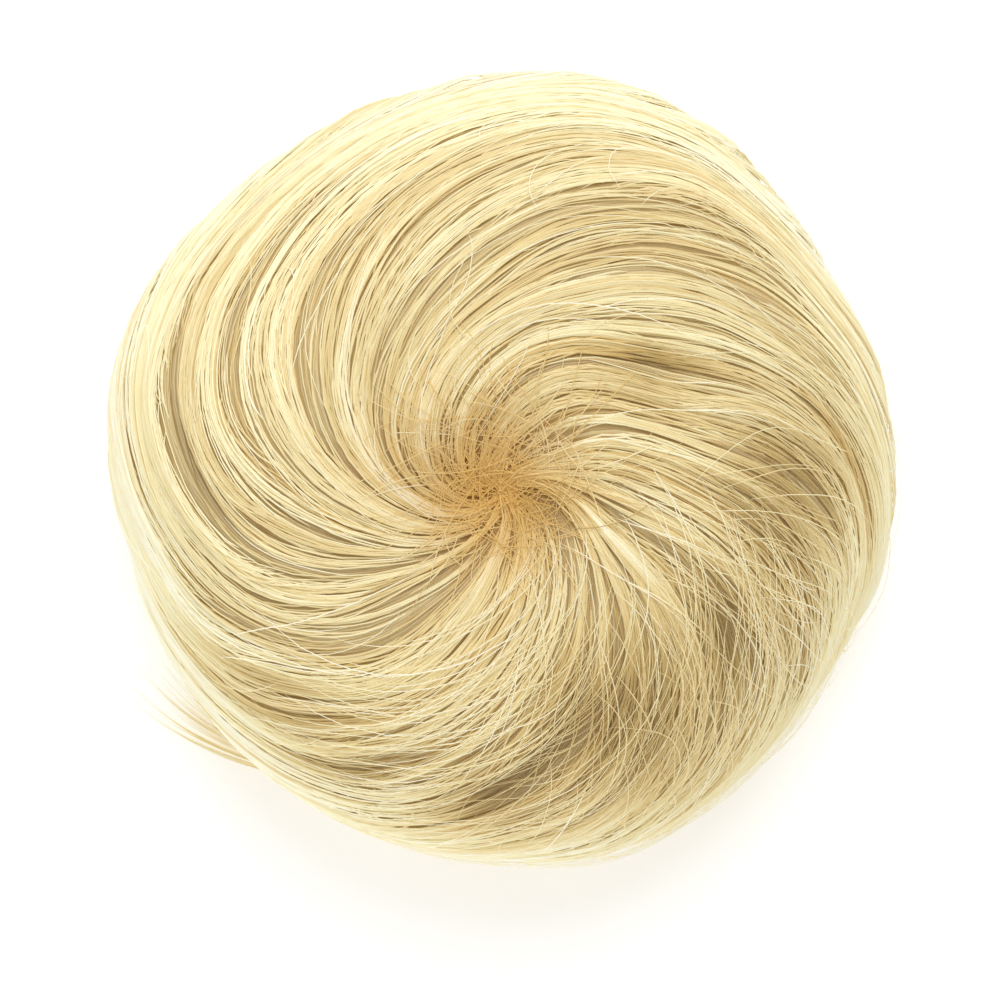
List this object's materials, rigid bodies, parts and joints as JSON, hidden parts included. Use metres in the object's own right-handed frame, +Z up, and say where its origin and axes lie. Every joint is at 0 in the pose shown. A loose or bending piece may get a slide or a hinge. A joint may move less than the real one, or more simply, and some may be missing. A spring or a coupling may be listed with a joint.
{
  "type": "top knot hairpiece",
  "caption": "Round false bun of blonde hair swirled clockwise from an off-centre pit, hollow underneath with a net cap, an elastic band and a comb.",
  "frame": {"origin": "on the surface the bun lies on, under the middle of its outline", "axes": "+Z up through the crown, out of the mouth side and away from the surface; +X right and +Y away in the view from above with the comb at +Y"},
  "size_m": [0.111, 0.1112, 0.056],
  "materials": {
    "blonde_hair": "glossy combed fibres",
    "beige_net": "matt stretch net",
    "beige_elastic": "matt woven elastic",
    "brown_plastic": "glossy"
  },
  "bodies": {
    "root": {"hair_swirl": "blonde_hair", "loose_lock": "blonde_hair", "net_cap": "beige_net", "elastic_band": "beige_elastic", "grip_comb": "brown_plastic"}
  },
  "joints": []
}
